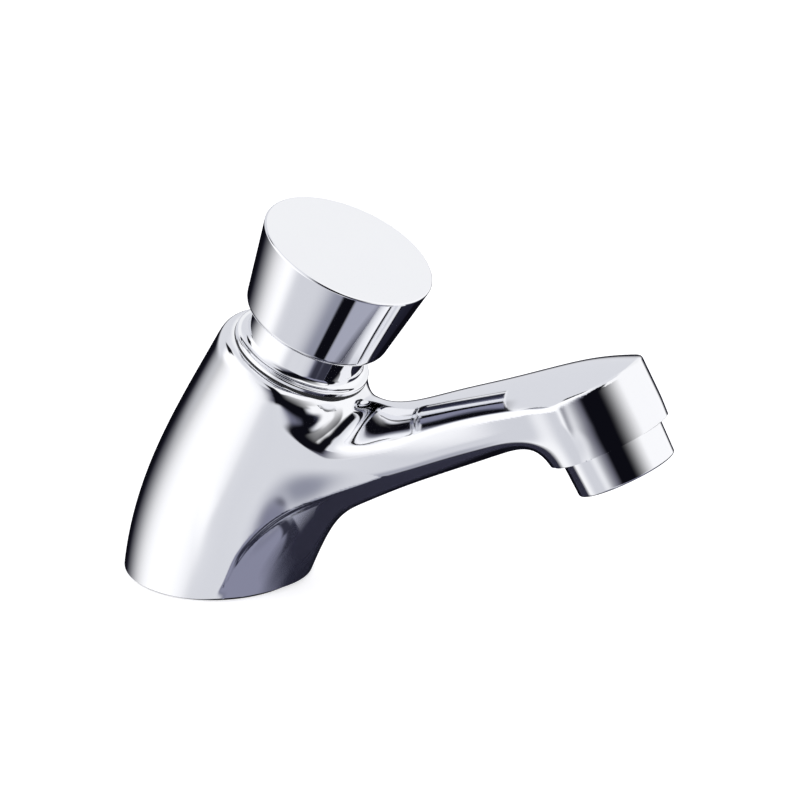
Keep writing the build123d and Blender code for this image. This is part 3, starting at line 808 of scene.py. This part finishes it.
def surface_nets(step):
    """Vertices and quads of the field's zero surface, on cubes of one size."""
    size = np.ceil((HIGHEST - LOWEST) / step).astype(int) + 1
    lines = [LOWEST[k] + step * np.arange(size[k]) for k in range(3)]
    values = np.empty(size, np.float32)
    for i in range(0, size[0], 32):
        block = np.meshgrid(lines[0][i:i + 32], lines[1], lines[2], indexing="ij")
        values[i:i + 32] = body_field(np.stack(block, -1))
    inside = values < 0
    cells = size - 1
    full = np.zeros(cells, np.int8)
    for a, b, c in np.ndindex(2, 2, 2):
        full += inside[a:a + cells[0], b:b + cells[1], c:c + cells[2]]
    crossed = (full > 0) & (full < 8)
    number = np.full(cells, -1)
    number[crossed] = np.arange(crossed.sum())
    corner = np.argwhere(crossed)
    total, count = np.zeros((len(corner), 3)), np.zeros(len(corner))
    quads = []
    for a in range(3):
        b, c = (a + 1) % 3, (a + 2) % 3
        for i, j in np.ndindex(2, 2):
            start = corner.copy()
            start[:, b] += i
            start[:, c] += j
            end = start.copy()
            end[:, a] += 1
            v0, v1 = values[tuple(start.T)], values[tuple(end.T)]
            hit = (v0 < 0) != (v1 < 0)
            place = start[hit].astype(float)
            place[:, a] += v0[hit] / (v0[hit] - v1[hit])
            total[hit] += place
            count[hit] += 1
        first, second = [slice(None)] * 3, [slice(None)] * 3
        first[a], second[a] = slice(0, size[a] - 1), slice(1, size[a])
        edge = np.argwhere(inside[tuple(first)] != inside[tuple(second)])
        around = []
        for i, j in ((-1, -1), (0, -1), (0, 0), (-1, 0)):
            cell = edge.copy()
            cell[:, b] += i
            cell[:, c] += j
            around.append(number[tuple(cell.T)])
        quad = np.stack(around, 1)
        outside = ~inside[tuple(edge.T)]
        quad[outside] = quad[outside][:, ::-1]
        quads.append(quad)
    return LOWEST + step * total / count[:, None], np.concatenate(quads)


print("cubes of", NET_STEP, "mm between", LOWEST, "and", HIGHEST)

# %% Settled mesh
SETTLE_ROUNDS, SETTLE_SHARE = 3, 0.6


def settle(points, quads):
    """Evens the mesh out and brings it back to the surface."""
    a, b = np.concatenate([quads[:, [i, (i + 1) % 4]] for i in range(4)]).T
    number = len(points)
    count = np.bincount(a, minlength=number) + np.bincount(b, minlength=number)
    for _ in range(SETTLE_ROUNDS):
        total = [np.bincount(a, place[b], number) + np.bincount(b, place[a], number) for place in points.T]
        pull = np.stack(total, 1) / count[:, None] - points
        facing = facing_of(points)
        points = points + SETTLE_SHARE * (pull - (pull * facing).sum(1, keepdims=True) * facing)
        for _ in range(2):
            slope = slope_of(points)
            points = points - body_field(points)[:, None] * slope / (slope * slope).sum(1, keepdims=True)
    return points


net_points, net_quads = surface_nets(NET_STEP)
net_points = settle(net_points, net_quads)
print("casting:", len(net_points), "points,", len(net_quads), "quads")

# %% [markdown]
# ### Passages
#
# The casting is bored as the real one is: a stepped bore for the valve cartridge, a socket for the
# threaded tail, a pocket for the base's gasket, a socket for the outlet ring and a water channel.
# Each is a turned cutter, taken away with a boolean. Two more face off the base and the seam of the
# head, where the field runs on a little, so that these machined edges are crisp. The outside keeps
# the field's normals, and the cut faces get their own.

# %% Cutters
THREAD_R, SOCKET_TOP = 10.48, 9
GASKET_INNER, GASKET_OUTER = 13.5, 20.5
BASE_CHAMFER, SEAM_CHAMFER = 0.4, 0.35
CHANNEL_T, CHANNEL_Q, CHANNEL_R, CHANNEL_LENGTH = 24.6, 17, 4.2, 96
channel_start = (CHANNEL_T * math.cos(RISE) - CHANNEL_Q * math.sin(RISE), 0,
                 CHANNEL_T * math.sin(RISE) + CHANNEL_Q * math.cos(RISE))
channel_axis = axis(channel_start, (math.cos(RISE), 0, math.sin(RISE)), (0, 1, 0))
base_edge, seam_edge = BASE_R - BASE_CHAMFER, HEAD_R - SEAM_CHAMFER
cutters = [
    turned("cut_base", inlet_axis, [
        (0, -5, 0), (30, -5, 0.1), (30, 0.9, 0.1), (base_edge + 0.9, 0.9, 0.05), (base_edge, 0, 0.05),
        (0, 0, 0),
    ], segments=240),
    turned("cut_seam", outlet_axis, [
        (0, -5, 0), (24, -5, 0.1), (24, 0.4, 0.05), (seam_edge + 0.4, 0.4, 0.05), (seam_edge, 0, 0.05),
        (0, 0, 0),
    ], segments=240),
    turned("cut_cartridge", button_axis(0), [
        (0, 0, 0), (5.5, 0, 0.3), (5.5, 10, 0.2), (8.5, 10, 0.2), (8.5, 24, 0.2), (10.5, 24, 0.2),
        (10.5, 30, 0.2), (14.0, 30, 0.2), (14.0, 73, 0.2), (0, 73, 0),
    ], segments=96),
    turned("cut_tail", inlet_axis, [
        (0, -10, 0), (THREAD_R, -10, 0.2), (THREAD_R, SOCKET_TOP, 0.2), (0, SOCKET_TOP, 0),
    ], segments=96),
    turned("cut_pocket", inlet_axis, [
        (GASKET_INNER, -10, 0.2), (GASKET_OUTER, -10, 0.2), (GASKET_OUTER, 9, 0.8), (GASKET_INNER, 9, 0.8),
    ], closed=True, segments=96),
    turned("cut_outlet", outlet_axis, [
        (0, -10, 0), (12.05, -10, 0.2), (12.05, 8.6, 0.3), (8, 8.6, 0.3), (8, 16.5, 1.0), (0, 16.5, 0),
    ], segments=96),
    turned("cut_channel", channel_axis, [
        (0, 0, 0), (CHANNEL_R, 0, 0.2), (CHANNEL_R, CHANNEL_LENGTH, 0.2), (0, CHANNEL_LENGTH, 0),
    ], segments=48),
]
print("cutters:", ", ".join(cutter.name for cutter in cutters))

# %% Boring
casting = mesh_object("cast_body", net_points, net_quads)
for cutter in cutters:
    cut = casting.modifiers.new("cut", "BOOLEAN")
    cut.operation = "DIFFERENCE"
    cut.solver = "MANIFOLD"
    cut.object = cutter
bored = bpy.data.meshes.new_from_object(casting.evaluated_get(bpy.context.evaluated_depsgraph_get()))
casting.modifiers.clear()
casting.data = bored
for cutter in cutters:
    bpy.data.objects.remove(cutter)
bored.name = "cast_body"
print("bored casting:", len(bored.vertices), "points")

# %% Normals of the casting
ON_SURFACE, SAME_WAY, SHARP = 0.02, 0.6, math.radians(35)


def read(items, what, width=1, kind=float):
    """One value, or a row of them, for each item of a mesh."""
    found = np.empty(len(items) * width, kind)
    items.foreach_get(what, found)
    return found.reshape(-1, width) if width > 1 else found


def field_normals(mesh):
    """The field's normals on its own surface, and plain ones in the bores, with sharp edges between."""
    points = read(mesh.vertices, "co", 3) / MM
    outside = np.abs(body_field(points)) < ON_SURFACE
    mesh.set_sharp_from_angle(angle=SHARP)
    mesh.polygons.foreach_set("use_smooth", np.ones(len(mesh.polygons), bool))
    corner = read(mesh.corner_normals, "vector", 3)
    vertex = read(mesh.loops, "vertex_index", kind=int)
    sides = read(mesh.polygons, "loop_total", kind=int)
    facing = facing_of(points)[vertex]
    face_normal = np.repeat(read(mesh.polygons, "normal", 3), sides, axis=0)
    face_outside = np.repeat(np.bitwise_and.reduceat(outside[vertex], np.cumsum(sides) - sides), sides)
    keep = face_outside & ((face_normal * facing).sum(1) > SAME_WAY)
    corner[keep] = facing[keep]
    mesh.normals_split_custom_set(corner.tolist())
    print("normals from the field on", round(100 * keep.mean(), 1), "% of the corners")


field_normals(casting.data)
stand_for(casting, "body")

# %% [markdown]
# ## Painted shade under the collar
#
# A thin dark line of shade runs round the collar's foot on the real tap, in the gap between rim and
# collar. Here it is painted shade: a dark ring with the rubber finish is turned, and it fills that gap.

# %% Painted shade ring under the collar
SHADE_RING_INNER, SHADE_RING_OUTER, SHADE_RING_FOOT, SHADE_RING_TOP = 16.0, 18.35, -1.9, 0.04
# The dark rubber-finished ring paints the shade of the gap under the collar's flange.
shade_ring = turned("collar_shade_ring", button_axis(RIM_S), [
    (SHADE_RING_INNER, SHADE_RING_FOOT, 0.1), (SHADE_RING_OUTER, SHADE_RING_FOOT, 0.2), (SHADE_RING_OUTER, SHADE_RING_TOP, 0.12),
    (SHADE_RING_INNER, SHADE_RING_TOP, 0.05),
], closed=True, segments=160)
shade_ring.data.materials.append(FINISHES["rubber"])
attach(shade_ring, body_of["collar"])
print("seal is", round(SHADE_RING_OUTER - SHADE_RING_INNER, 2), "mm wide")

# %% [markdown]
# ## Thread and return spring
#
# Both are a profile swept along a helix: the pipe thread is a wedge and the spring is a round wire.
# A small Geometry Nodes tree sweeps either, with its turns, sizes and place as named inputs, so a
# change of pitch is one number. The result is kept as a plain mesh.

# %% Two profiles


def wedge_profile(depth, foot, crest):
    """Four corners of a thread's section. Minus x points away from the axis."""
    shape = node("GeometryNodeCurvePrimitiveQuadrilateral", mode="POINTS")
    for i, (across, along) in enumerate([(0, foot), (-depth, crest), (-depth, -crest), (0, -foot)]):
        shape.inputs["Point " + str(i + 1)].default_value = (across * MM, along * MM, 0)
    return shape.outputs["Curve"]


def wire_profile(radius, sides):
    """A round wire's section."""
    shape = node("GeometryNodeCurvePrimitiveCircle")
    shape.inputs["Resolution"].default_value = sides
    shape.inputs["Radius"].default_value = radius * MM
    return shape.outputs["Curve"]


print("profiles ready: a wedge and a wire")

# %% Coil


def coil(name, profile, settings):
    """A plain mesh object that sweeps a profile along a helix, by Geometry Nodes."""
    global tree
    tree = bpy.data.node_groups.new(name, "GeometryNodeTree")
    kinds = {"Turns": "Float", "Radius": "Float", "Height": "Float", "Steps": "Int", "Place": "Vector",
             "Turned": "Vector", "Material": "Material"}
    for title, kind in kinds.items():
        tree.interface.new_socket(title, in_out="INPUT", socket_type="NodeSocket" + kind)
    tree.interface.new_socket("Geometry", in_out="OUTPUT", socket_type="NodeSocketGeometry")
    given = node("NodeGroupInput").outputs
    helix, sweep = node("GeometryNodeCurveSpiral"), node("GeometryNodeCurveToMesh")
    upright = node("GeometryNodeSetCurveNormal", mode="Z_UP")
    place, plain = node("GeometryNodeTransform"), node("GeometryNodeRealizeInstances")
    shade = node("GeometryNodeSetMaterial")
    sweep.inputs["Fill Caps"].default_value = True
    for source, target in [
            (given["Steps"], helix.inputs["Resolution"]), (given["Turns"], helix.inputs["Rotations"]),
            (given["Radius"], helix.inputs["Start Radius"]), (given["Radius"], helix.inputs["End Radius"]),
            (given["Height"], helix.inputs["Height"]), (helix.outputs["Curve"], upright.inputs["Curve"]),
            (upright.outputs["Curve"], sweep.inputs["Curve"]), (profile(), sweep.inputs["Profile Curve"]),
            (sweep.outputs["Mesh"], place.inputs["Geometry"]), (given["Place"], place.inputs["Translation"]),
            (given["Turned"], place.inputs["Rotation"]),
            (place.outputs["Geometry"], plain.inputs["Geometry"]),
            (plain.outputs["Geometry"], shade.inputs["Geometry"]),
            (given["Material"], shade.inputs["Material"]),
            (shade.outputs["Geometry"], node("NodeGroupOutput").inputs["Geometry"])]:
        tree.links.new(source, target)
    made = bpy.data.objects.new(name, bpy.data.meshes.new(name))
    bpy.context.collection.objects.link(made)
    modifier = made.modifiers.new("coil", "NODES")
    modifier.node_group = tree
    for item in tree.interface.items_tree:
        if item.in_out == "INPUT":
            modifier[item.identifier] = settings[item.name]
    swept = bpy.data.meshes.new_from_object(made.evaluated_get(bpy.context.evaluated_depsgraph_get()))
    made.modifiers.clear()
    made.data = swept
    swept.polygons.foreach_set("use_smooth", np.ones(len(swept.polygons), bool))
    swept.set_sharp_from_angle(angle=math.radians(40))
    print(name, "has", round(settings["Turns"], 2), "turns and", len(swept.polygons), "faces")
    return made


print("coil takes a profile and its settings")

# %% [markdown]
# The tail is a plain rod of the thread's root size, and as wide as the thread where it sits in the
# body. The thread is added in two stretches, because a relief marks the supply's end off from the
# backnut's thread.

# %% Threaded tail
THREAD_DEPTH, PITCH, SUNK = 1.16, 1.814, 0.15
TAIL_FOOT, TAIL_TOP, TAIL_BORE = -55, 7.4, 7.5
THREADS = {"inlet_thread_lower": (-54.0, -35.4), "inlet_thread_upper": (-33.4, -1.9)}
root_r = THREAD_R - THREAD_DEPTH
tail = turned("inlet_tail", inlet_axis, [
    (TAIL_BORE, TAIL_FOOT, 0.3), (root_r + 0.3, TAIL_FOOT, 0.5), (root_r + 0.3, TAIL_FOOT + 0.8, 0.1),
    (root_r, TAIL_FOOT + 0.8, 0.1), (root_r, -1.4, 0.1), (THREAD_R, -1.0, 0.1), (THREAD_R, TAIL_TOP, 0.4),
    (TAIL_BORE, TAIL_TOP, 0.3),
], closed=True, segments=96)
stand_for(tail, "inlet_shank")
for label, (low, high) in THREADS.items():
    thread = coil(label, lambda: wedge_profile(THREAD_DEPTH + SUNK, PITCH * 0.46, 0.16), {
        "Turns": (high - low) / PITCH, "Radius": (root_r - SUNK) * MM, "Height": (high - low) * MM,
        "Steps": 48, "Place": (0, 0, low * MM), "Turned": (0, 0, 0), "Material": FINISHES["brass"],
    })
    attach(thread, body_of["inlet_shank"])

# %% [markdown]
# The spring stands on the gland and pushes the button up.

# %% Return spring
WIRE, SPRING_R, SPRING_TURNS = 0.7, 7.5, 6
GLAND_TOP, SPRING_FOOT, SPRING_TOP = 64.0, 64.75, 87.15
spring = coil("coil_spring", lambda: wire_profile(WIRE, 12), {
    "Turns": float(SPRING_TURNS), "Radius": SPRING_R * MM, "Height": (SPRING_TOP - SPRING_FOOT) * MM,
    "Steps": 40, "Place": tuple(button_axis(SPRING_FOOT)[0] * MM), "Turned": (0, LEAN, 0),
    "Material": FINISHES[slot_of["return_spring"]],
})
stand_for(spring, "return_spring")
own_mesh(spring)
